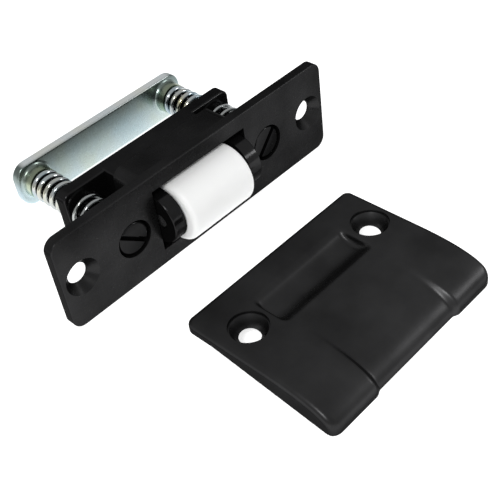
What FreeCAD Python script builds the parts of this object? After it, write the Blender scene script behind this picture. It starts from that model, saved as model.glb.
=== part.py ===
import FreeCAD, Part
import math
import os

# Adjustable roller catch and its strike plate. Millimetres.
# X runs along the face plate, Y into the door, Z up. Sizes along Y count from the face plate's front,
# and main() then moves every piece back, so that the origin is the centre of the plate's seat.

# face plate casting
plate_length = 86.0
plate_height = 25.4
plate_thickness = 2.6
plate_corner = 3.0
plate_edge_round = 0.3
window_length = 29.8
window_height = 17.4
guide_wall = 1.25
guide_depth = 12.2
guide_corner = 2.8
fixing_from_end = 5.65
fixing_hole_radius = 2.6
fixing_sink_radius = 4.6
fixing_sink_depth = 2.2

# adjusting screws and their bosses
screw_spacing = 44.2
screw_radius = 2.5
head_radius = 4.15
head_front = 0.3
head_length = 4.1
head_edge_round = 0.5
head_clearance = 0.55
slot_width = 1.25
slot_depth = 1.4
slot_angle_left = -38.0
slot_angle_right = 47.0
screw_end_stand = 1.0
screw_end_chamfer = 0.5
running_clearance = 0.05
boss_radius = 6.0
boss_depth = 8.3

# roller carrier
carrier_side_gap = 0.4
cheek_radius = 6.7
cheek_centre = 1.35
left_cheek_inner = -11.1
right_cheek_inner = 10.7
cheek_edge_round = 0.4
wing_front = 17.8
wing_thickness = 3.65
wing_length = 54.0
wing_height = 13.2
wing_corner = 2.0
wing_edge_round = 0.5
wing_hole_clearance = 0.5

# roller and its axle
roller_radius = 7.8
roller_axis = -0.3
roller_left = -10.75
roller_right = 9.25
roller_edge_round = 1.3
roller_gap = 0.6
axle_radius = 1.6
axle_recess = 0.4
axle_mouth_radius = 2.0

# back plate with drawn collars
back_front = 37.2
back_thickness = 2.55
back_length = 54.4
back_height = 12.0
back_drop = 0.55
back_corner = 4.0
back_edge_round = 0.6
collar_length = 3.1
collar_radius = 4.1
collar_flare = 0.9

# springs
front_wire = 1.1
front_outer = 9.4
front_turns = 4.0
rear_wire = 1.3
rear_outer = 8.2
rear_turns = 5.4
closed_turns = 0.6
points_a_turn = 6
seat_gap = 0.08

# strike plate, which lies level on the end of its turned down lip
strike_length = 54.7
strike_width = 40.6
strike_thickness = 3.0
strike_x = -3.1
strike_back = -23.0
strike_corner = 2.5
strike_edge_round = 0.9
lip_length = 22.0
lip_drop = 4.8
strike_hole_spacing = 40.6
strike_hole_shift = 0.5
strike_hole_from_back = 12.0
strike_hole_radius = 2.5
strike_sink_radius = 4.5
strike_sink_depth = 2.1
pocket_length = 28.8
pocket_width = 9.4
pocket_from_back = 7.9
pocket_depth = 2.2
ramp_length = 27.9
ramp_from_back = 25.0
ramp_depth = 1.4
ramp_nose_set_back = 1.0

# sizes that follow from the ones above
floor_z = -plate_height / 2
fixing_spacing = plate_length - 2 * fixing_from_end
window_half = window_length / 2
guide_half = window_half + guide_wall
guide_half_height = window_height / 2 + guide_wall
neck_half = window_half - carrier_side_gap
wing_rear = wing_front + wing_thickness
collar_front = back_front - collar_length
back_rear = back_front + back_thickness
screw_end = back_rear + screw_end_stand
bearing_radius = screw_radius + running_clearance
head_rear = head_front + head_length
strike_top = floor_z + strike_thickness + lip_drop

V = FreeCAD.Vector
along_x = V(1, 0, 0)
along_y = V(0, 1, 0)
along_z = V(0, 0, 1)


def block(x0, x1, y0, y1, z0, z1):
    return Part.makeBox(x1 - x0, y1 - y0, z1 - z0, V(x0, y0, z0))


def rod_y(radius, y0, y1, x=0.0, z=0.0):
    return Part.makeCylinder(radius, y1 - y0, V(x, y0, z), along_y)


def rod_x(radius, x0, x1, y=0.0, z=0.0):
    return Part.makeCylinder(radius, x1 - x0, V(x0, y, z), along_x)


def cone_y(r0, r1, y0, y1, x=0.0, z=0.0):
    return Part.makeCone(r0, r1, y1 - y0, V(x, y0, z), along_y)


def upright_edges(shape, axis):
    """Straight edges of a prism that run along an axis."""
    found = []
    for edge in shape.Edges:
        ends = edge.Vertexes
        if len(ends) == 2:
            run = ends[1].Point.sub(ends[0].Point)
            straight = isinstance(edge.Curve, (Part.Line, Part.LineSegment))
            if straight and run.cross(axis).Length < 1e-6:
                found.append(edge)
    return found


def rounded_prism_y(half_x, half_z, corner, y0, y1):
    prism = block(-half_x, half_x, y0, y1, -half_z, half_z)
    return prism.makeFillet(corner, upright_edges(prism, along_y))


def rim_edges(shape, y):
    """Edges that lie wholly in the plane at one Y."""
    return [e for e in shape.Edges if abs(e.BoundBox.YMin - y) < 1e-6 and abs(e.BoundBox.YMax - y) < 1e-6]


def turned(points, origin, axis, across):
    """Solid of revolution from (distance from axis, distance along axis) points."""
    corners = [origin + across * r + axis * a for r, a in points]
    face = Part.Face(Part.makePolygon(corners + corners[:1]))
    return face.revolve(origin, axis, 360)


def faceplate():
    plate = rounded_prism_y(plate_length / 2, plate_height / 2, plate_corner, 0, plate_thickness)
    plate = plate.makeFillet(plate_edge_round, rim_edges(plate, 0))
    guide = rounded_prism_y(guide_half, guide_half_height, guide_corner, plate_thickness / 2, guide_depth)
    body = plate.fuse(guide)
    for side in (-1, 1):
        x = side * screw_spacing / 2
        body = body.fuse(rod_y(boss_radius, plate_thickness / 2, boss_depth, x))
    body = body.cut(block(-window_half, window_half, -1, guide_depth + 1, -window_height / 2, window_height / 2))
    for side in (-1, 1):
        x = side * screw_spacing / 2
        body = body.cut(rod_y(head_radius + head_clearance, -1, head_rear, x))
        body = body.cut(rod_y(bearing_radius, head_rear - 1, boss_depth + 1, x))
        x = side * fixing_spacing / 2
        slope = (fixing_sink_radius - fixing_hole_radius) / fixing_sink_depth
        body = body.cut(cone_y(fixing_sink_radius + slope, fixing_hole_radius, -1, fixing_sink_depth, x))
        body = body.cut(rod_y(fixing_hole_radius, -1, plate_thickness + 1, x))
    return body.removeSplitter()


def roller_carrier():
    front = rod_x(cheek_radius, -neck_half, neck_half, cheek_centre)
    stem = block(-neck_half, neck_half, cheek_centre, wing_front + 1, -cheek_radius, cheek_radius)
    head = front.fuse(stem).removeSplitter()
    cut_radius = roller_radius + roller_gap
    head = head.cut(rod_x(cut_radius, left_cheek_inner, right_cheek_inner, roller_axis))
    sides = [e for e in head.Edges if abs(abs(e.CenterOfMass.x) - neck_half) < 1e-6]
    head = head.makeFillet(cheek_edge_round, [e for e in sides if e.BoundBox.YLength > 1])
    wing = rounded_prism_y(wing_length / 2, wing_height / 2, wing_corner, wing_front, wing_rear)
    wing = wing.makeFillet(wing_edge_round, rim_edges(wing, wing_front) + rim_edges(wing, wing_rear))
    body = head.fuse(wing)
    body = body.cut(rod_x(axle_radius, -neck_half - 1, neck_half + 1, roller_axis))
    for side in (-1, 1):
        hole = rod_y(screw_radius + wing_hole_clearance, wing_front - 1, wing_rear + 1, side * screw_spacing / 2)
        body = body.cut(hole)
        wide = axle_mouth_radius + 1.0
        deep = wide - axle_radius
        start = V(side * (neck_half + wide - axle_mouth_radius), roller_axis, 0)
        body = body.cut(Part.makeCone(wide, axle_radius, deep, start, along_x * -side))
    return body.removeSplitter()


def roller_axle():
    reach = neck_half - axle_recess
    return rod_x(axle_radius, -reach, reach, roller_axis)


def roller():
    body = rod_x(roller_radius, roller_left, roller_right, roller_axis)
    rims = [e for e in body.Edges if e.BoundBox.XLength < 1e-6]
    body = body.makeFillet(roller_edge_round, rims)
    return body.cut(rod_x(axle_radius + running_clearance, roller_left - 1, roller_right + 1, roller_axis))


def adjusting_screw(side, slot_angle):
    x = side * screw_spacing / 2
    head = rod_y(head_radius, head_front, head_rear, x)
    head = head.makeFillet(head_edge_round, rim_edges(head, head_front))
    reach = head_radius + 1
    half = slot_width / 2
    slot = block(-reach, reach, head_front - 1, head_front + slot_depth, -half, half)
    slot.rotate(V(0, 0, 0), along_y, -slot_angle)
    slot.translate(V(x, 0, 0))
    shank = rod_y(screw_radius, head_rear - 1, screw_end - screw_end_chamfer, x)
    tip = cone_y(screw_radius, screw_radius - screw_end_chamfer, screw_end - screw_end_chamfer, screw_end, x)
    return head.cut(slot).fuse(shank).fuse(tip).removeSplitter()


def back_plate():
    plate = rounded_prism_y(back_length / 2, back_height / 2, back_corner, back_front, back_rear)
    plate = plate.makeFillet(back_edge_round, rim_edges(plate, back_rear) + rim_edges(plate, back_front))
    plate.translate(along_z * -back_drop)
    for side in (-1, 1):
        foot = V(side * screw_spacing / 2, back_front + 0.5, 0)
        reach = collar_length + 0.5
        rise = []
        for degrees in (0, 22.5, 45, 67.5, 90):
            a = math.radians(degrees)
            out = collar_radius + collar_flare * (1 - math.sin(a))
            rise.append((out, 0.5 + collar_flare * (1 - math.cos(a))))
        outline = [(0, 0), (rise[0][0], 0)] + rise + [(collar_radius, reach), (0, reach)]
        plate = plate.fuse(turned(outline, foot, along_y * -1, along_x))
    for side in (-1, 1):
        plate = plate.cut(rod_y(bearing_radius, collar_front - 1, back_rear + 1, side * screw_spacing / 2))
    return plate.removeSplitter()


def coil(x, y0, y1, outer, wire, turns, start_angle):
    """Spring about a line parallel to Y, its end turns closed up to the wire."""
    radius = (outer - wire) / 2
    low = y0 + seat_gap + wire / 2
    high = y1 - seat_gap - wire / 2
    closed_rise = wire * closed_turns
    total = turns
    active = turns - 2 * closed_turns
    points = []
    count = int(total * points_a_turn)
    for i in range(count + 1):
        t = total * i / count
        if t <= closed_turns:
            y = low + wire * t * t / closed_turns / 2
        elif t >= total - closed_turns:
            s = total - t
            y = high - wire * s * s / closed_turns / 2
        else:
            f = (t - closed_turns) / active
            y = low + closed_rise / 2 + f * (high - low - closed_rise)
        a = start_angle + 2 * math.pi * t
        points.append(V(x + radius * math.cos(a), y, radius * math.sin(a)))
    curve = Part.BSplineCurve()
    curve.interpolate(points)
    path = Part.Wire(curve.toShape())
    heading = curve.tangent(curve.FirstParameter)[0]
    ring = Part.Wire(Part.makeCircle(wire / 2, points[0], heading))
    return path.makePipeShell([ring], True, True)


def front_spring(side):
    return coil(side * screw_spacing / 2, boss_depth, wing_front, front_outer, front_wire, front_turns, 0.6)


def rear_spring(side):
    return coil(side * screw_spacing / 2, wing_rear, collar_front, rear_outer, rear_wire, rear_turns, 2.1)


def lip_height(v):
    """Height of the strike plate's top over the floor, at a distance from its back edge."""
    s = max(0.0, (v - strike_width + lip_length) / lip_length)
    return strike_thickness + lip_drop * math.sqrt(1 - s * s)


def strike_edge(points):
    """Points as (distance from the back edge, height over the floor), put into space."""
    return [V(0, strike_back - v, floor_z + h) for v, h in points]


def smooth_edge(points):
    curve = Part.BSplineCurve()
    curve.interpolate(strike_edge(points))
    return curve.toShape()


def straight_edges(points):
    places = strike_edge(points)
    return [Part.makeLine(places[i], places[i + 1]) for i in range(len(places) - 1)]


def quarter(v0, v1, h0, h1):
    """Quarter of an ellipse that leaves h0 level at v0 and ends upright at v1, h1."""
    centre = V(0, strike_back - v0, floor_z + h1)
    far = strike_edge([(v1, h1)])[0]
    near = strike_edge([(v0, h0)])[0]
    if v1 - v0 >= h0 - h1:
        curve = Part.Ellipse(far, near, centre)
    else:
        curve = Part.Ellipse(near, far, centre)
    ends = sorted((curve.parameter(far), curve.parameter(near)))
    return curve.toShape(ends[0], ends[1])


def strike_prism(edges, x0, x1):
    wire = Part.Wire(Part.sortEdges(edges)[0])
    prism = Part.Face(wire).extrude(V(x1 - x0, 0, 0))
    prism.translate(V(x0, 0, 0))
    return prism


def strike_plate():
    half = strike_length / 2
    x0 = strike_x - half
    x1 = strike_x + half
    bend = strike_width - lip_length
    full = strike_thickness + lip_drop
    inner = strike_width - strike_thickness
    edges = straight_edges([(bend, lip_drop), (0, lip_drop), (0, full), (bend, full)])
    edges.append(quarter(bend, strike_width, full, strike_thickness))
    edges += straight_edges([(strike_width, strike_thickness), (strike_width, 0), (inner, 0)])
    edges.append(quarter(bend, inner, lip_drop, 0))
    slab = strike_prism(edges, x0, x1)
    rear = [e for e in upright_edges(slab, along_z) if e.CenterOfMass.y > strike_back - 1e-6]
    slab = slab.makeFillet(strike_corner, rear)
    slab = slab.makeFillet(strike_edge_round, outer_rim(slab, x0, x1))
    x0 = strike_x + strike_hole_shift - ramp_length / 2
    slab = slab.cut(ramp_cutter(x0, x0 + ramp_length))
    x0 = strike_x + strike_hole_shift - pocket_length / 2
    slab = slab.cut(pocket_cutter(x0, x0 + pocket_length))
    for side in (-1, 1):
        x = strike_x + strike_hole_shift + side * strike_hole_spacing / 2
        y = strike_back - strike_hole_from_back
        wide = strike_sink_radius + (strike_sink_radius - strike_hole_radius) / strike_sink_depth
        foot = V(x, y, strike_top - strike_sink_depth)
        slab = slab.cut(Part.makeCone(strike_hole_radius, wide, strike_sink_depth + 1, foot, along_z))
        foot = V(x, y, floor_z - 1)
        slab = slab.cut(Part.makeCylinder(strike_hole_radius, full + 2, foot, along_z))
    return slab.removeSplitter()


def outer_rim(slab, x0, x1):
    """Edges round the strike plate's top, and down its lip's ends, but not those of its underside."""
    found = []
    for edge in slab.Edges:
        box = edge.BoundBox
        middle = edge.valueAt((edge.FirstParameter + edge.LastParameter) / 2)
        v = strike_back - middle.y
        level = middle.z - floor_z
        at_side = box.XLength < 1e-6 and (abs(middle.x - x0) < 1e-6 or abs(middle.x - x1) < 1e-6)
        on_top = box.ZMin > strike_top - 1e-6 and v < strike_corner
        if on_top or at_side and level > lip_height(v) - strike_thickness / 2 - 1e-6:
            found.append(edge)
    return found


def ramp_cutter(x0, x1):
    """Cuts the lead-in down the lip, which gets deeper towards the lip's end."""
    end = strike_width - ramp_nose_set_back
    places = []
    for i in range(8):
        v = ramp_from_back + (end - ramp_from_back) * math.sin(math.pi * i / 16) / math.sin(math.pi * 7 / 16)
        deep = ramp_depth * (v - ramp_from_back) / (end - ramp_from_back)
        places.append((v, lip_height(v) - deep))
    last = places[-1]
    out = strike_width + 1
    over = strike_thickness + lip_drop + 1
    edges = [smooth_edge(places)]
    edges += straight_edges([last, (last[0], -1), (out, -1), (out, over), (ramp_from_back, over), places[0]])
    return strike_prism(edges, x0, x1)


def pocket_cutter(x0, x1):
    """Round trough across the top, with soft edges along it."""
    reach = pocket_width / 2
    curve = (reach * reach + pocket_depth * pocket_depth) / (2 * pocket_depth)
    middle = strike_back - pocket_from_back - reach
    return rod_x(curve, x0, x1, middle, strike_top - pocket_depth + curve)


def main():
    os.makedirs("parts", exist_ok=True)
    pieces = {
        "faceplate": faceplate(),
        "roller_carrier": roller_carrier(),
        "roller_axle": roller_axle(),
        "roller": roller(),
        "adjusting_screw_left": adjusting_screw(-1, slot_angle_left),
        "adjusting_screw_right": adjusting_screw(1, slot_angle_right),
        "back_plate": back_plate(),
        "front_spring_left": front_spring(-1),
        "front_spring_right": front_spring(1),
        "rear_spring_left": rear_spring(-1),
        "rear_spring_right": rear_spring(1),
        "strike_plate": strike_plate(),
    }
    for name, shape in pieces.items():
        solids = shape.Solids
        if len(solids) == 1:
            shape = solids[0]
        shape.translate(along_y * -plate_thickness)
        print(name, len(solids), shape.isValid(), round(shape.Volume, 1))
        shape.exportStep("parts/" + name + ".step")


main()
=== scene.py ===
import bpy
import math
import numpy as np
from mathutils import Matrix, Vector


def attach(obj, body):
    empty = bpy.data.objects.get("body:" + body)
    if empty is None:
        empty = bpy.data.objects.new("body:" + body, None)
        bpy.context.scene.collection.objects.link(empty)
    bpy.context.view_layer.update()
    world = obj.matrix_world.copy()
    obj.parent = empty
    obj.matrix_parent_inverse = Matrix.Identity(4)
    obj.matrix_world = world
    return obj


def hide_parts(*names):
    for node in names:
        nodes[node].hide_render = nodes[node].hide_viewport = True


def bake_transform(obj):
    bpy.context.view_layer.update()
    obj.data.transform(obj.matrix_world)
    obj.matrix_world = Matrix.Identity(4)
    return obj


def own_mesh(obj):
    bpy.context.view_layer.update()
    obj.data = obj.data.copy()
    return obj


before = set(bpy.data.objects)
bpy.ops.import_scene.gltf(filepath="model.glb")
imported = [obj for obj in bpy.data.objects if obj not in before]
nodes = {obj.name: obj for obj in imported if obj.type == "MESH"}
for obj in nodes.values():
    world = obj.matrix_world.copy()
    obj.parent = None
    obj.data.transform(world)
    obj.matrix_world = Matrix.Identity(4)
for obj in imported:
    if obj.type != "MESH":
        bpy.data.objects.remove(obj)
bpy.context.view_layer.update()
mm = 0.001  # sizes below are in millimetres, unless they say otherwise
floorLevel = -12.7
fullTurn = 2.0 * math.pi
print("solids", len(nodes))

cameraSet = {
    "place": (-108.602, -140.931, 137.494),  # seen from in front, left and above
    "right": (0.681963, -0.722996, -0.110468),
    "up": (0.547181, 0.404132, 0.732987),
    "back": (-0.485303, -0.560316, 0.671213),
    "lens": 67.724, "sensor": 36.0,
    "near": 0.01, "far": 10.0,  # metres
}


def makeCamera():
    data = bpy.data.cameras.new("camera")
    data.sensor_width = cameraSet["sensor"]
    data.lens = cameraSet["lens"]
    data.clip_start = cameraSet["near"]
    data.clip_end = cameraSet["far"]
    camera = bpy.data.objects.new("camera", data)
    bpy.context.scene.collection.objects.link(camera)
    turn = Matrix((cameraSet["right"], cameraSet["up"], cameraSet["back"])).transposed()
    camera.matrix_world = Matrix.Translation(Vector(cameraSet["place"]) * mm) @ turn.to_4x4()
    bpy.context.scene.camera = camera


def newMaterial(name):
    material = bpy.data.materials.new(name)
    material.use_nodes = True
    tree = material.node_tree
    return material, tree, tree.nodes["Principled BSDF"]


# small discs a good way off give the glints on the black coat; powers in watts
lightSet = {
    "keyPlace": (-260.0, -180.0, 330.0), "keySize": 110.0, "keyPower": 0.75,
    "fillPlace": (250.0, -260.0, 160.0), "fillSize": 90.0, "fillPower": 0.2,
    "aim": (0.0, -10.0, 0.0),
    "world": 0.6,
    "floorGrey": 0.93, "floorRoughness": 0.9, "floorSpecular": 0.1, "floorGlow": 0.72,
    "floorReach": 4000.0, "floorGap": 0.02,
}


def areaLight(name, place, size, power):
    data = bpy.data.lights.new(name, "AREA")
    data.shape = "DISK"
    data.size = size * mm
    data.energy = power
    light = bpy.data.objects.new(name, data)
    bpy.context.scene.collection.objects.link(light)
    light.location = Vector(place) * mm
    aim = Vector(lightSet["aim"]) * mm
    light.rotation_euler = (light.location - aim).to_track_quat("Z", "Y").to_euler()


def makeStage():
    world = bpy.data.worlds.new("studio")
    bpy.context.scene.world = world
    world.use_nodes = True
    background = world.node_tree.nodes["Background"]
    background.inputs["Color"].default_value = (1.0, 1.0, 1.0, 1.0)
    background.inputs["Strength"].default_value = lightSet["world"]
    areaLight("key", lightSet["keyPlace"], lightSet["keySize"], lightSet["keyPower"])
    areaLight("fill", lightSet["fillPlace"], lightSet["fillSize"], lightSet["fillPower"])
    reach = lightSet["floorReach"]
    level = floorLevel - lightSet["floorGap"]
    corners = [(-reach, -reach, level), (reach, -reach, level), (reach, reach, level), (-reach, reach, level)]
    floor = meshObject("floor", corners, [(0, 1, 2, 3)])
    material, tree, shader = newMaterial("paleFloor")
    shader.inputs["Base Color"].default_value = (*[lightSet["floorGrey"]] * 3, 1.0)
    shader.inputs["Roughness"].default_value = lightSet["floorRoughness"]
    shader.inputs["Specular IOR Level"].default_value = lightSet["floorSpecular"]
    shader.inputs["Emission Color"].default_value = (1.0, 1.0, 1.0, 1.0)
    shader.inputs["Emission Strength"].default_value = lightSet["floorGlow"]
    floor.data.materials.append(material)


def noise(tree, scale, detail):
    # noise over the piece's own coordinates; the scale counts per metre
    coords = tree.nodes.new("ShaderNodeTexCoord")
    texture = tree.nodes.new("ShaderNodeTexNoise")
    texture.inputs["Scale"].default_value = scale
    texture.inputs["Detail"].default_value = detail
    tree.links.new(coords.outputs["Object"], texture.inputs["Vector"])
    return texture.outputs["Fac"]


def ramp(tree, source, stops):
    # colours at places from 0 to 1, blended in between
    node = tree.nodes.new("ShaderNodeValToRGB")
    while len(node.color_ramp.elements) < len(stops):
        node.color_ramp.elements.new(0.5)
    for element, (place, colour) in zip(node.color_ramp.elements, stops):
        element.position = place
        element.color = (*colour, 1.0)
    tree.links.new(source, node.inputs["Fac"])
    return node.outputs["Color"]


def bump(tree, source, strength, distance, normal=None):
    # the distance is in millimetres; a second bump lies on top of the first, given as its normal
    node = tree.nodes.new("ShaderNodeBump")
    node.inputs["Strength"].default_value = strength
    node.inputs["Distance"].default_value = distance * mm
    tree.links.new(source, node.inputs["Height"])
    if normal:
        tree.links.new(normal, node.inputs["Normal"])
    return node.outputs["Normal"]


def spread(tree, source, low, high):
    node = tree.nodes.new("ShaderNodeMapRange")
    node.inputs["To Min"].default_value = low
    node.inputs["To Max"].default_value = high
    tree.links.new(source, node.inputs["Value"])
    return node.outputs["Result"]


def multiply(tree, first, second):
    mix = tree.nodes.new("ShaderNodeMix")
    mix.data_type = "RGBA"
    mix.blend_type = "MULTIPLY"
    mix.inputs["Factor"].default_value = 1.0
    tree.links.new(first, mix.inputs["A"])
    tree.links.new(second, mix.inputs["B"])
    return mix.outputs["Result"]


def rising(tree, way, low, high):
    # goes from 0 to 1 along a direction, between two distances
    coords = tree.nodes.new("ShaderNodeTexCoord")
    dot = tree.nodes.new("ShaderNodeVectorMath")
    dot.operation = "DOT_PRODUCT"
    dot.inputs[1].default_value = way
    rise = tree.nodes.new("ShaderNodeMapRange")
    rise.inputs["From Min"].default_value = low * mm
    rise.inputs["From Max"].default_value = high * mm
    tree.links.new(coords.outputs["Object"], dot.inputs[0])
    tree.links.new(dot.outputs["Value"], rise.inputs["Value"])
    return rise.outputs["Result"]


def unevenGloss(tree, shader, scale, roughness, detail, less=0.05, more=0.06):
    # roughness that wanders a little below and above its middle value
    gloss = spread(tree, noise(tree, scale, detail), roughness - less, roughness + more)
    tree.links.new(gloss, shader.inputs["Roughness"])


# the satin black coat; each piece has how light its coat is, then its roughness
blackSet = {
    "colour": (0.0255, 0.0255, 0.026), "metallic": 0.85, "specular": 0.1, "edge": 0.05,
    "faceplate": (1.0, 0.27), "strike": (1.0, 0.34), "carrier": (0.9, 0.14),
    "screw": (0.72, 0.12), "axle": (7.0, 0.1),
    "shadeScale": 90.0, "shadeLow": 0.8, "shadeHigh": 1.25, "glossScale": 420.0,
    "grainScale": 5200.0, "grain": 0.02, "grainHeight": 0.06,
    "waveScale": 900.0, "wave": 0.05, "waveHeight": 0.2,
    # painted light on the strike plate, drawn lighter towards its lip where it catches the light: direction, from,
    # to, first and last shade
    "strikePaintedLight": ((0.45, -0.89, 0.0), 12.0, 62.0, 1.0, 1.55),
}


def blackMaterial(name, piece, paintedLight=None):
    # fine grain over slow waves, with a faint unevenness in colour and gloss, and painted light if given
    material, tree, shader = newMaterial(name)
    gain, roughness = blackSet[piece]
    base = [c * gain for c in blackSet["colour"]]
    stops = [(0.3, [c * blackSet["shadeLow"] for c in base]), (0.7, [c * blackSet["shadeHigh"] for c in base])]
    tint = ramp(tree, noise(tree, blackSet["shadeScale"], detail=4.0), stops)
    # painted light: the coat is drawn lighter along a direction, standing in for the light the piece catches there
    if paintedLight:
        way, low, high, dark, light = paintedLight
        tint = multiply(tree, tint, ramp(tree, rising(tree, way, low, high), [(0.0, [dark] * 3), (1.0, [light] * 3)]))
    tree.links.new(tint, shader.inputs["Base Color"])
    unevenGloss(tree, shader, blackSet["glossScale"], roughness, detail=3.0)
    shader.inputs["Metallic"].default_value = blackSet["metallic"]
    shader.inputs["Specular IOR Level"].default_value = blackSet["specular"]
    shader.inputs["Specular Tint"].default_value = (*[blackSet["edge"]] * 3, 1.0)
    grain = bump(tree, noise(tree, blackSet["grainScale"], detail=2.0), blackSet["grain"], blackSet["grainHeight"])
    waves = noise(tree, blackSet["waveScale"], detail=2.0)
    tree.links.new(bump(tree, waves, blackSet["wave"], blackSet["waveHeight"], grain), shader.inputs["Normal"])
    return material


# bright zinc with the faint yellow and blue of its passivation
zincSet = {
    "colour": (0.70, 0.73, 0.73), "yellow": (0.74, 0.70, 0.46), "blue": (0.52, 0.66, 0.74),
    "patchScale": 110.0, "patchWidth": 0.32, "glossScale": 700.0,
    "waveScale": 1800.0, "wave": 0.06, "waveHeight": 0.1,
    # each piece: how light, its roughness, and how strong its yellow and blue are
    "plate": (1.0, 0.27, 0.25), "rearSpring": (0.72, 0.13, 1.0), "frontSpring": (0.55, 0.12, 0.1),
    # painted reflection on the back plate, as if it mirrored a pale floor below and a dark room above, and a painted
    # pale top rim where light falls on it, so it doesn't follow the lights: height over its middle, shade
    "platePaintedReflection": ((-6.0, (0.84, 0.95, 1.0)), (-1.0, (0.52, 0.62, 0.66)), (2.0, (0.30, 0.36, 0.37)),
                  (5.0, (0.19, 0.225, 0.22)), (5.5, (0.98, 0.98, 0.98))),
    "plateHalf": 6.0, "rimHeight": 5.5, "rimSoft": 0.04, "rimMetallic": 0.55,
    "collarShade": (1.5, 1.38, 1.0), "collarFrom": 32.5, "collarTo": 34.8,
}


def zincMaterial(name, piece, plate=False):
    # patches of yellow and blue; on the back plate also a painted reflection fading from pale below to dark above, a
    # painted pale top rim and warmer collars
    material, tree, shader = newMaterial(name)
    shade, roughness, strength = zincSet[piece]
    shader.inputs["Metallic"].default_value = 1.0
    patches = noise(tree, zincSet["patchScale"], detail=2.0)
    half = zincSet["patchWidth"] / 2.0
    neutral = zincSet["colour"]
    stops = []
    for place, colour in ((0.5 - half, zincSet["blue"]), (0.5, neutral), (0.5 + half, zincSet["yellow"])):
        stops.append((place, [shade * (a + strength * (b - a)) for a, b in zip(neutral, colour)]))
    tint = ramp(tree, patches, stops)
    if plate:
        # painted reflection and painted pale top rim, set by height on the plate
        reach = zincSet["plateHalf"]
        rise = rising(tree, (0.0, 0.0, 1.0), -reach, reach)
        stops = [((height + reach) / (2.0 * reach), colour) for height, colour in zincSet["platePaintedReflection"]]
        tint = multiply(tree, tint, ramp(tree, rise, stops))
        rear = rising(tree, (0.0, 1.0, 0.0), zincSet["collarFrom"], zincSet["collarTo"])
        tint = multiply(tree, tint, ramp(tree, rear, [(0.0, zincSet["collarShade"]), (1.0, (1.0, 1.0, 1.0))]))
        rim = (zincSet["rimHeight"] + reach) / (2.0 * reach)
        stops = [(rim - zincSet["rimSoft"], (1.0, 1.0, 1.0)), (rim, [zincSet["rimMetallic"]] * 3)]
        tree.links.new(ramp(tree, rise, stops), shader.inputs["Metallic"])
    tree.links.new(tint, shader.inputs["Base Color"])
    unevenGloss(tree, shader, zincSet["glossScale"], roughness, detail=4.0)
    waves = bump(tree, noise(tree, zincSet["waveScale"], detail=3.0), zincSet["wave"], zincSet["waveHeight"])
    tree.links.new(waves, shader.inputs["Normal"])
    return material


nylonSet = {
    "colour": (0.87, 0.875, 0.87), "shade": 0.985, "shadeScale": 160.0, "roughness": 0.42, "specular": 0.35,
    "glow": 0.25, "glowReach": (0.9, 0.9, 0.85), "glowScale": 1.2,
    "waveScale": 1500.0, "wave": 0.02, "waveHeight": 0.1,
}


def nylonMaterial(name):
    # white nylon that lets a little light in under its surface
    material, tree, shader = newMaterial(name)
    shader.inputs["Roughness"].default_value = nylonSet["roughness"]
    shader.inputs["Specular IOR Level"].default_value = nylonSet["specular"]
    shader.inputs["Subsurface Weight"].default_value = nylonSet["glow"]
    shader.inputs["Subsurface Radius"].default_value = nylonSet["glowReach"]
    shader.inputs["Subsurface Scale"].default_value = nylonSet["glowScale"] * mm
    base = nylonSet["colour"]
    stops = [(0.3, [c * nylonSet["shade"] for c in base]), (0.7, base)]
    tree.links.new(ramp(tree, noise(tree, nylonSet["shadeScale"], detail=2.0), stops), shader.inputs["Base Color"])
    waves = bump(tree, noise(tree, nylonSet["waveScale"], detail=2.0), nylonSet["wave"], nylonSet["waveHeight"])
    tree.links.new(waves, shader.inputs["Normal"])
    return material


def dress(name, material):
    node = nodes[name]
    node.data.materials.clear()
    node.data.materials.append(material)


def meshObject(name, points, faces):
    mesh = bpy.data.meshes.new(name)
    mesh.from_pydata((np.asarray(points) * mm).tolist(), [], faces)
    piece = bpy.data.objects.new(name, mesh)
    bpy.context.scene.collection.objects.link(piece)
    return piece


def gridFaces(rows, around):
    # four-sided faces between each ring of points and the next, and one face over each end
    first = np.arange(rows - 1)[:, None] * around
    here = np.arange(around)[None, :]
    ahead = (here + 1) % around
    sides = np.stack([first + here, first + around + here, first + around + ahead, first + ahead], axis=-1)
    ends = [list(range(around)), list(range(rows * around - 1, (rows - 1) * around - 1, -1))]
    return sides.reshape(-1, 4).tolist() + ends


def smoothExceptEdges(mesh, angle=40.0):
    mesh.polygons.foreach_set("use_smooth", [True] * len(mesh.polygons))
    mesh.set_sharp_from_angle(angle=math.radians(angle))


def turnedObject(name, outline, centre, steps=96):
    # solid turned about an upright line: each (radius, height) of the outline, from the top down, is carried
    # round the centre by the sine and cosine of the angle
    radius, height = np.array(outline).T[:, :, None]
    a = np.arange(steps)[None, :] * fullTurn / steps
    x, y, z = centre[0] + radius * np.cos(a), centre[1] + radius * np.sin(a), centre[2] + height + 0.0 * a
    return meshObject(name, np.stack([x, y, z], axis=-1).reshape(-1, 3), gridFaces(len(outline), steps))


def cutAway(piece, cutters):
    # takes the cutters out of the piece, for good
    for cutter in cutters:
        cut = piece.modifiers.new("cut", "BOOLEAN")
        cut.operation = "DIFFERENCE"
        cut.solver = "EXACT"
        cut.object = cutter
    bpy.context.view_layer.update()
    shaped = bpy.data.meshes.new_from_object(piece.evaluated_get(bpy.context.evaluated_depsgraph_get()))
    piece.modifiers.clear()
    piece.data = shaped
    for cutter in cutters:
        bpy.data.objects.remove(cutter)
    smoothExceptEdges(shaped)


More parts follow.
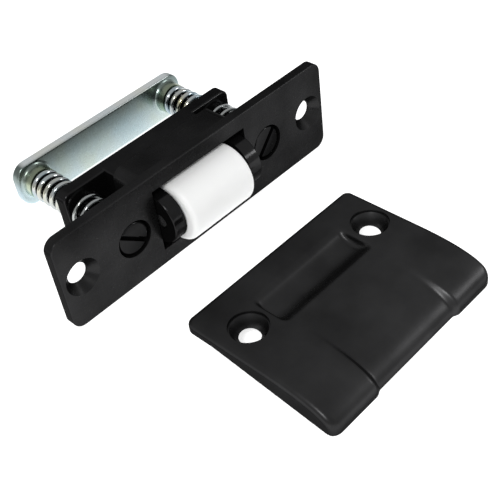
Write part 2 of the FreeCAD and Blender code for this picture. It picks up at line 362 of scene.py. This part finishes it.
# the cast strike plate; lengths count from its back edge, heights from the floor
strikeSet = {
    "middle": -2.65, "back": -25.35, "floor": floorLevel, "length": 54.3, "width": 40.84, "full": 7.2,
    "corner": 2.0, "noseCorner": 4.0, "noseReach": 1.5, "edge": 1.3,
    "lipLength": 20.0, "lipTip": 0.9, "lipPower": 2.5,
    "under": 4.2, "underEdge": 0.3, "seat": 8.0,
    "rampFrom": 21.5, "rampLength": 26.8, "rampDepth": 1.4, "rampSetBack": 0.6, "rampSide": 1.9,
    "rampEase": 0.06, "rampPast": 1.2,
    "pocketFrom": 7.9, "pocketLength": 28.7, "pocketWidth": 9.3, "pocketDepth": 2.2,
    "pocketEnd": 1.2, "pocketRim": 0.8,
    "shift": 0.5, "holeSpacing": 40.7, "holeFrom": 12.1, "holeRadius": 2.5,
    "sinkRadius": 4.6, "sinkStep": 0.6, "sinkLedge": 0.35, "sinkDepth": 3.0,
    "cell": 0.3, "tableStep": 0.1, "tableMargin": 5.0,
}


def roundedMeet(a, b, radius):
    # what two solids share, both given by their distance outwards: the larger distance, but beside the edge
    # where they meet the distance to a round of this radius
    corner = np.hypot(np.maximum(a + radius, 0.0), np.maximum(b + radius, 0.0))
    return np.minimum(-radius, np.maximum(a, b)) + corner


def lipTable():
    # distance to the plate's top curve, over v = distance from the back edge and h = height over the floor:
    # level, then a quarter of a squarish ellipse down to the tip, then straight down
    s = strikeSet
    power, step, margin = s["lipPower"], s["tableStep"], s["tableMargin"]
    bend = s["width"] - s["lipLength"]
    drop = s["full"] - s["lipTip"]
    turn = np.linspace(0.0, math.pi / 2.0, 90)
    away = -30.0  # far enough out for the level and the upright stretch
    curveV = np.concatenate(([away], bend + s["lipLength"] * np.sin(turn) ** (2.0 / power), [s["width"]]))
    curveH = np.concatenate(([s["full"]], s["lipTip"] + drop * np.abs(np.cos(turn)) ** (2.0 / power), [away]))
    allV, allH = np.arange(-margin, s["width"] + margin, step), np.arange(-margin, s["full"] + margin, step)
    v, h = np.meshgrid(allV, allH, indexing="ij")
    best = np.full(v.shape, 1e9)
    for v0, h0, v1, h1 in zip(curveV[:-1], curveH[:-1], curveV[1:], curveH[1:]):
        along = ((v - v0) * (v1 - v0) + (h - h0) * (h1 - h0)) / ((v1 - v0) ** 2 + (h1 - h0) ** 2)
        along = np.clip(along, 0.0, 1.0)
        best = np.minimum(best, np.hypot(v - v0 - along * (v1 - v0), h - h0 - along * (h1 - h0)))
    reach = np.clip((v - bend) / s["lipLength"], 0.0, 1.0)
    inside = (v < s["width"]) & (h < s["lipTip"] + drop * (1.0 - reach ** power) ** (1.0 / power))
    return np.where(inside, -best, best)


def readTable(table, v, h):
    # value between the four nearest entries of the table, in proportion to how near each one is
    step, margin = strikeSet["tableStep"], strikeSet["tableMargin"]
    a = np.clip((v + margin) / step, 0.0, table.shape[0] - 1.001)
    b = np.clip((h + margin) / step, 0.0, table.shape[1] - 1.001)
    i, j = a.astype(int), b.astype(int)
    a, b = a - i, b - j
    near = table[i, j] * (1.0 - b) + table[i, j + 1] * b
    far = table[i + 1, j] * (1.0 - b) + table[i + 1, j + 1] * b
    return near * (1.0 - a) + far * a


def strikeField(table, x, y, z):
    # distance out of the cast strike plate, below 0 inside it
    s = strikeSet
    u = np.abs(x - s["middle"] - s["shift"])
    v = s["back"] - y
    h = z - s["floor"]
    # lead-in: between its two ends the top sinks more and more towards the lip's tip
    ease = s["rampEase"]
    go = np.clip((v - s["rampFrom"]) / (s["width"] - s["rampFrom"]), 0.0, s["rampPast"])
    go = go * go * (1.0 + ease) / (go + ease)
    side = np.clip((s["rampLength"] / 2.0 - u) / s["rampSide"] + 0.5, 0.0, 1.0)
    go = go * side * side * (3.0 - 2.0 * side)
    top = readTable(table, v + s["rampSetBack"] * go, h + s["rampDepth"] * go)
    # outline seen from above: a rectangle with rounded corners, wider ones at the tip
    radius = np.where(v < s["width"] / 2.0, s["corner"], s["noseCorner"])
    far = s["width"] + s["noseReach"]
    dx = np.abs(x - s["middle"]) - s["length"] / 2.0 + radius
    dv = np.abs(v - far / 2.0) - far / 2.0 + radius
    plan = np.minimum(np.maximum(dx, dv), 0.0) + np.hypot(np.maximum(dx, 0.0), np.maximum(dv, 0.0)) - radius
    body = roundedMeet(top, plan, s["edge"])
    # underside: level behind, then straight down to the floor at the tip
    slope = s["under"] / (s["width"] - s["seat"])
    low = np.minimum(s["under"] - h, (s["under"] - slope * (v - s["seat"]) - h) / math.hypot(1.0, slope))
    body = roundedMeet(body, low, s["underEdge"])
    # trough for the roller: a lying cylinder with rounded ends
    reach = s["pocketWidth"] / 2.0
    curve = (reach ** 2 + s["pocketDepth"] ** 2) / (2.0 * s["pocketDepth"])
    trough = np.hypot(v - s["pocketFrom"] - reach, h - s["full"] + s["pocketDepth"] - curve) - curve
    trough = roundedMeet(trough, u - s["pocketLength"] / 2.0, s["pocketEnd"])
    return roundedMeet(body, -trough, s["pocketRim"])


def cellPoints(grid, full):
    # one point in each grid cell that the surface passes through: the middle of its crossings of the cell's
    # twelve edges. Gives the points, in cells, and the number of each cell's point, or -1
    cells = tuple(n - 1 for n in grid.shape)
    total = np.zeros(cells + (3,))
    count = np.zeros(cells)
    for axis in range(3):
        others = [k for k in range(3) if k != axis]
        for a, b in ((0, 0), (0, 1), (1, 0), (1, 1)):
            start = [0, 0, 0]
            start[others[0]], start[others[1]] = a, b
            end = list(start)
            end[axis] = 1
            first = tuple(slice(k, k + n) for k, n in zip(start, cells))
            second = tuple(slice(k, k + n) for k, n in zip(end, cells))
            cut = full[first] != full[second]
            share = np.where(cut, grid[first] / np.where(cut, grid[first] - grid[second], 1.0), 0.0)
            for k in range(3):
                total[..., k] += np.where(cut, start[k] + (share if k == axis else 0.0), 0.0)
            count += cut
    used = count > 0
    index = np.full(cells, -1)
    index[used] = np.arange(used.sum())
    return np.argwhere(used) + total[used] / count[used][:, None], index


def cellFaces(full, index):
    # a four-sided face across each grid edge that the surface cuts, joining the points of the four cells
    # round it, turned so that it faces out of the solid
    faces = []
    for axis in range(3):
        b, c = (axis + 1) % 3, (axis + 2) % 3
        near = [slice(1, n - 1) for n in full.shape]
        near[axis] = slice(0, full.shape[axis] - 1)
        nearEnd = list(near)
        nearEnd[axis] = slice(1, full.shape[axis])
        ahead, behind = full[tuple(near)], full[tuple(nearEnd)]
        for edges, turned in ((ahead & ~behind, False), (behind & ~ahead, True)):
            at = np.argwhere(edges)
            at[:, b] += 1
            at[:, c] += 1
            ring = []
            for db, dc in ((1, 1), (0, 1), (0, 0), (1, 0)):
                spot = at.copy()
                spot[:, b] -= db
                spot[:, c] -= dc
                ring.append(index[tuple(spot.T)])
            faces.append(np.stack(ring[::-1] if turned else ring, axis=1))
    return np.concatenate(faces)


def skin(field, low, high, cell, passes=4, probe=0.02, longest=0.3, flattest=0.05):
    # closed mesh of the surface where the field is 0. Every point is then moved onto the surface a few times:
    # by the field's value over its slope, along the slope, and by no more than a share of a cell
    axes = [np.arange(a, b + cell, cell) for a, b in zip(low, high)]
    grid = field(*np.meshgrid(*axes, indexing="ij"))
    full = grid < 0.0
    points, index = cellPoints(grid, full)
    points = points * cell + np.array(low)
    for turn in range(passes):
        value = field(*points.T)
        rises = [(field(*(points + step).T) - field(*(points - step).T)) for step in np.eye(3) * probe]
        slope = np.stack(rises, axis=1) / (2.0 * probe)
        move = slope * (value / np.maximum((slope ** 2).sum(axis=1), flattest))[:, None]
        points -= np.clip(move, -longest * cell, longest * cell)
    return points, cellFaces(full, index)


def strikePiece():
    # the skin of the strike's field, then two holes with a stepped countersink
    s = strikeSet
    table = lipTable()
    room = 1.0
    low = (s["middle"] - s["length"] / 2.0 - room, s["back"] - s["width"] - room, s["floor"] - room)
    high = (s["middle"] + s["length"] / 2.0 + room, s["back"] + room, s["floor"] + s["full"] + room)
    points, faces = skin(lambda x, y, z: strikeField(table, x, y, z), low, high, s["cell"])
    plate = meshObject("castStrike", points, faces.tolist())
    ledge, past = s["sinkRadius"] - s["sinkLedge"], 2.0
    outline = [(s["sinkRadius"], past), (s["sinkRadius"], -s["sinkStep"]), (ledge, -s["sinkStep"]),
               (s["holeRadius"], -s["sinkDepth"]), (s["holeRadius"], -s["full"] - past)]
    cutters = []
    for side in (-1, 1):
        x = s["middle"] + s["shift"] + side * s["holeSpacing"] / 2.0
        cutters.append(turnedObject("sink", outline, (x, s["back"] - s["holeFrom"], s["floor"] + s["full"])))
    cutAway(plate, cutters)
    return plate


# both adjusting screws; lengths along Y, slots turned from level in degrees
screwSet = {
    "spacing": 44.2, "radius": 2.5, "pitch": 0.8, "threadDepth": 0.49, "threadSlope": 1.3, "threadCrest": 0.15,
    "headRadius": 4.15, "headFront": -2.3, "headRear": 1.8, "headRound": 0.5, "headChamfer": 0.2,
    "end": 38.15, "endChamfer": 0.6, "slotWidth": 1.25, "slotDepth": 1.4, "slotLeft": -38.0, "slotRight": 47.0,
    "around": 60, "rowsATurn": 10,
}


def screwPiece(name, side, slotAngle):
    # rings of points along the screw's line, whose radius follows the head, then the thread: a V that climbs
    # by one pitch in each turn, with a narrow crest and root, cut down to a chamfer at the end
    s = screwSet
    middle = side * s["spacing"] / 2.0
    a = np.arange(s["around"]) * fullTurn / s["around"]
    bend = np.linspace(0.0, math.pi / 2.0, 6)[::-1]
    headY = np.append(s["headFront"] + s["headRound"] * (1.0 - np.sin(bend)),
                      [s["headRear"] - s["headChamfer"], s["headRear"]])
    headRadius = np.append(s["headRadius"] - s["headRound"] * (1.0 - np.cos(bend)),
                           [s["headRadius"], s["headRadius"] - s["headChamfer"]])
    threadY = np.arange(s["headRear"], s["end"] + 1e-6, s["pitch"] / s["rowsATurn"])
    phase = (threadY[:, None] / s["pitch"] - a[None, :] / fullTurn) % 1.0
    cut = np.clip(np.abs(2.0 * phase - 1.0) * s["threadSlope"] - s["threadCrest"], 0.0, 1.0)
    chamfer = s["radius"] - s["endChamfer"] + s["end"] - threadY
    thread = np.minimum(s["radius"] - s["threadDepth"] * cut, chamfer[:, None])
    y = np.concatenate([headY, threadY])[:, None] + 0.0 * a
    radius = np.concatenate([headRadius[:, None] + 0.0 * a, thread])
    points = np.stack([middle + radius * np.cos(a), y, radius * np.sin(a)], axis=-1).reshape(-1, 3)
    piece = meshObject(name, points, gridFaces(len(y), len(a)))
    # the slot's cutter: a box that lies across the head, turned by its angle
    cosine, sine = math.cos(math.radians(slotAngle)), math.sin(math.radians(slotAngle))
    along = np.array([-1, 1, 1, -1] * 2) * (s["headRadius"] + 1.0)
    across = np.array([-1, -1, 1, 1] * 2) * s["slotWidth"] / 2.0
    depth = np.repeat([s["headFront"] - 1.0, s["headFront"] + s["slotDepth"]], 4)
    corners = np.stack([middle + along * cosine - across * sine, depth, along * sine + across * cosine], axis=1)
    cutAway(piece, [meshObject("slot", corners, gridFaces(2, 4))])
    return piece


# springs as (first end, last end, outer diameter, wire, turns, start angle in radians), along Y
springSet = {
    "front": (5.7, 15.2, 9.4, 1.1, 4.0, 0.6), "rear": (18.85, 31.5, 8.2, 1.3, 5.4, 2.1),
    "closed": 0.6, "gap": 0.08,  # turns that lie flat at each end, and the gap to their seats
    "stepsATurn": 48, "around": 14,
    "travel": 4.0, "adjust": 1.5,  # how far the carrier and the back plate come
    "splitTurn": 1.6, "splitGap": 0.0024,  # in turns
}


def springHeight(t, row):
    # where along Y the wire's middle is after t turns: the rise grows with the square of the turn while an end
    # turn flattens against its seat, and evenly in between
    first, last, outer, wire, turns, start = springSet[row]
    closed, gap = springSet["closed"], springSet["gap"]
    low, high = first + gap + wire / 2.0, last - gap - wire / 2.0
    flat = wire * closed
    middle = low + flat / 2.0 + (t - closed) / (turns - 2.0 * closed) * (high - low - flat)
    y = np.where(t < closed, low + wire * t * t / closed / 2.0, middle)
    return np.where(t > turns - closed, high - wire * (turns - t) ** 2 / closed / 2.0, y)


def springPiece(name, side, row, begin=0.0, finish=None):
    # a round wire carried along a screw line, with its ends closed flat: at each step a circle stands across
    # the line, between the way out from the spring's middle and the way square to that and to the line.
    # A piece may be a stretch of the wire alone, from one turn to another
    first, last, outer, wire, turns, start = springSet[row]
    finish = finish or turns
    t = np.linspace(begin, finish, int((finish - begin) * springSet["stepsATurn"]) + 1)
    y = springHeight(t, row)
    a = start + fullTurn * t
    radius = (outer - wire) / 2.0
    out = np.stack([np.cos(a), np.zeros_like(a), np.sin(a)], axis=1)
    centre = np.stack([np.full_like(a, side * screwSet["spacing"] / 2.0), y, np.zeros_like(a)], axis=1)
    line = out * radius + centre
    along = np.gradient(line, axis=0)
    along /= np.linalg.norm(along, axis=1)[:, None]
    across = np.cross(out, along)
    turn = np.arange(springSet["around"]) * fullTurn / springSet["around"]
    ring = np.cos(turn)[None, :, None] * out[:, None, :] + np.sin(turn)[None, :, None] * across[:, None, :]
    points = (line[:, None, :] + wire / 2.0 * ring).reshape(-1, 3)
    piece = meshObject(name, points, gridFaces(len(t), len(turn)))
    smoothExceptEdges(piece.data)
    return piece


makeCamera()
makeStage()
bpy.context.scene.view_settings.view_transform = "Standard"
print("camera, lights and floor")

blackCoat = blackMaterial("blackCoat", "faceplate")
blackStrike = blackMaterial("blackStrike", "strike", blackSet["strikePaintedLight"])
zinc = zincMaterial("zinc", "plate", plate=True)
springZinc = zincMaterial("springZinc", "rearSpring")
darkSpring = zincMaterial("darkSpring", "frontSpring")
nylon = nylonMaterial("nylon")
glossCoat = blackMaterial("glossCoat", "carrier")
screwCoat = blackMaterial("screwCoat", "screw")
dress("faceplate", blackCoat)
dress("roller_carrier", glossCoat)
dress("roller_axle", blackMaterial("axleSteel", "axle"))
dress("strike_plate", blackStrike)
dress("back_plate", zinc)
dress("roller", nylon)
print("materials on the solids")

for side, sign in (("left", -1), ("right", 1)):
    screw = screwPiece("threadedScrew" + side.capitalize(), sign, screwSet["slot" + side.capitalize()])
    screw.data.materials.append(screwCoat)
    dress("adjusting_screw_" + side, screwCoat)
    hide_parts("adjusting_screw_" + side)
    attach(screw, "screw_" + side)
print("threaded screws", len(screw.data.polygons), "faces each")

castStrike = strikePiece()
castStrike.data.materials.append(blackStrike)
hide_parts("strike_plate")
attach(castStrike, "faceplate")
print("cast strike plate", len(castStrike.data.polygons), "faces")

# a front spring stretches between the face plate and the carrier. A rear spring has two seats that move, so it
# is split: its front part rides the carrier, its rear part the back plate
for side, sign in (("left", -1), ("right", 1)):
    for row, material in (("front", darkSpring), ("rear", springZinc)):
        node = row + "_spring_" + side
        dress(node, material)
        coil = row + "Coil" + side.capitalize()
        split, gap = springSet["splitTurn"], springSet["splitGap"] / 2.0
        if row == "front":
            parts = [springPiece(coil, sign, row)]
        else:
            parts = [springPiece(coil, sign, row, 0.0, split - gap),
                     springPiece(coil + "Back", sign, row, split + gap)]
        for part in parts:
            part.data.materials.append(material)
            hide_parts(node)
        if row == "front":
            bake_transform(parts[0])
            continue
        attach(parts[0], "carrier")
        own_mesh(parts[0])
        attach(parts[1], "back_plate")
        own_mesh(parts[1])
print("coil springs")
